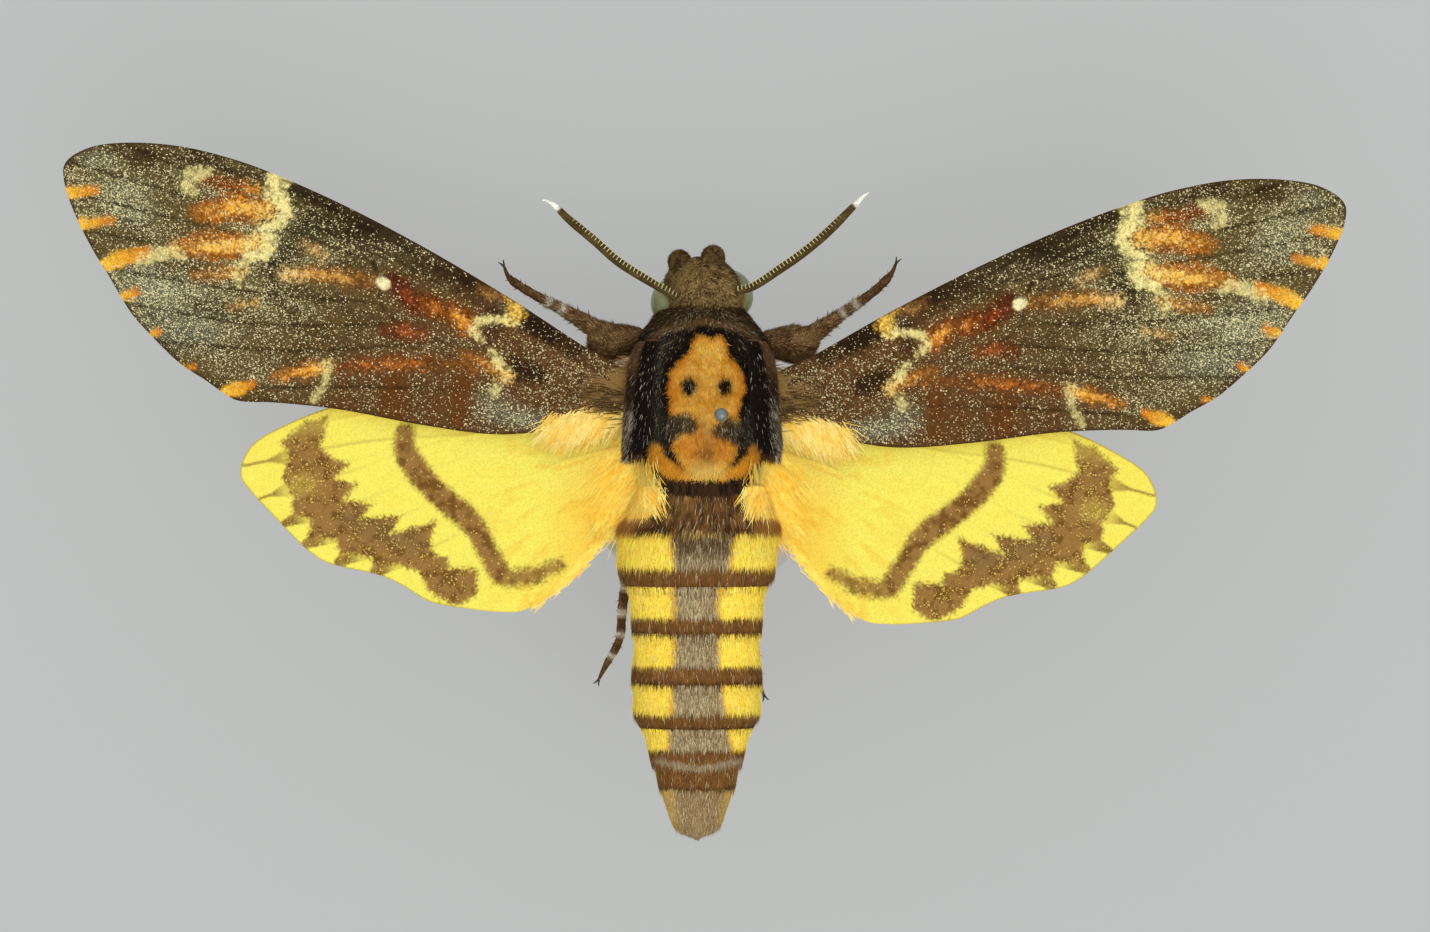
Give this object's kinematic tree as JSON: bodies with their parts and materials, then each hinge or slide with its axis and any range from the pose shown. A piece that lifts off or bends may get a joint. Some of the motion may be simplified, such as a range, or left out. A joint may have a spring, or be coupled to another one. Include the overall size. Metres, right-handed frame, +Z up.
{
  "type": "death's-head hawkmoth, pinned museum specimen",
  "caption": "Life-size death's-head hawkmoth with spread wings, on an insect pin over a small round base.",
  "frame": {"origin": "centre of the flat underside of the round base, directly under the rear of the thorax", "axes": "+X along the wingspan to the moth's right side, +Y towards its head, +Z up out of the base and towards the camera of the picture"},
  "size_m": [0.1201, 0.0654, 0.04],
  "materials": {
    "head_scales": "matte, short olive-brown hair scales",
    "eye": "satin, greenish grey",
    "antenna": "satin horn with pale ridges and a white tip",
    "thorax_scales": "matte black-brown hair scales with an ochre skull mark",
    "abdomen_scales": "matte yellow hair scales with brown rings and a grey stripe",
    "forewing_scales": "matte, dark brown with cream specks and orange marks",
    "hindwing_scales": "matte yellow with two dark brown bands",
    "leg_scales": "matte brown with white rings",
    "base_wood": "satin pale wood",
    "pin_steel": "satin steel"
  },
  "bodies": {
    "root": {"head": "head_scales", "palp_l": "head_scales", "palp_r": "head_scales", "tongue": "leg_scales", "eye_l": "eye", "eye_r": "eye", "antenna_l": "antenna", "antenna_r": "antenna", "collar": "thorax_scales", "thorax": "thorax_scales", "tegula_l": "thorax_scales", "tegula_r": "thorax_scales", "abdomen": "abdomen_scales", "forewing_l": "forewing_scales", "forewing_r": "forewing_scales", "hindwing_l": "hindwing_scales", "hindwing_r": "hindwing_scales", "foreleg_l": "leg_scales", "foreleg_r": "leg_scales", "midleg_l": "leg_scales", "midleg_r": "leg_scales", "hindleg_l": "leg_scales", "hindleg_r": "leg_scales", "stand_base": "base_wood", "stand_pin": "pin_steel"}
  },
  "joints": []
}
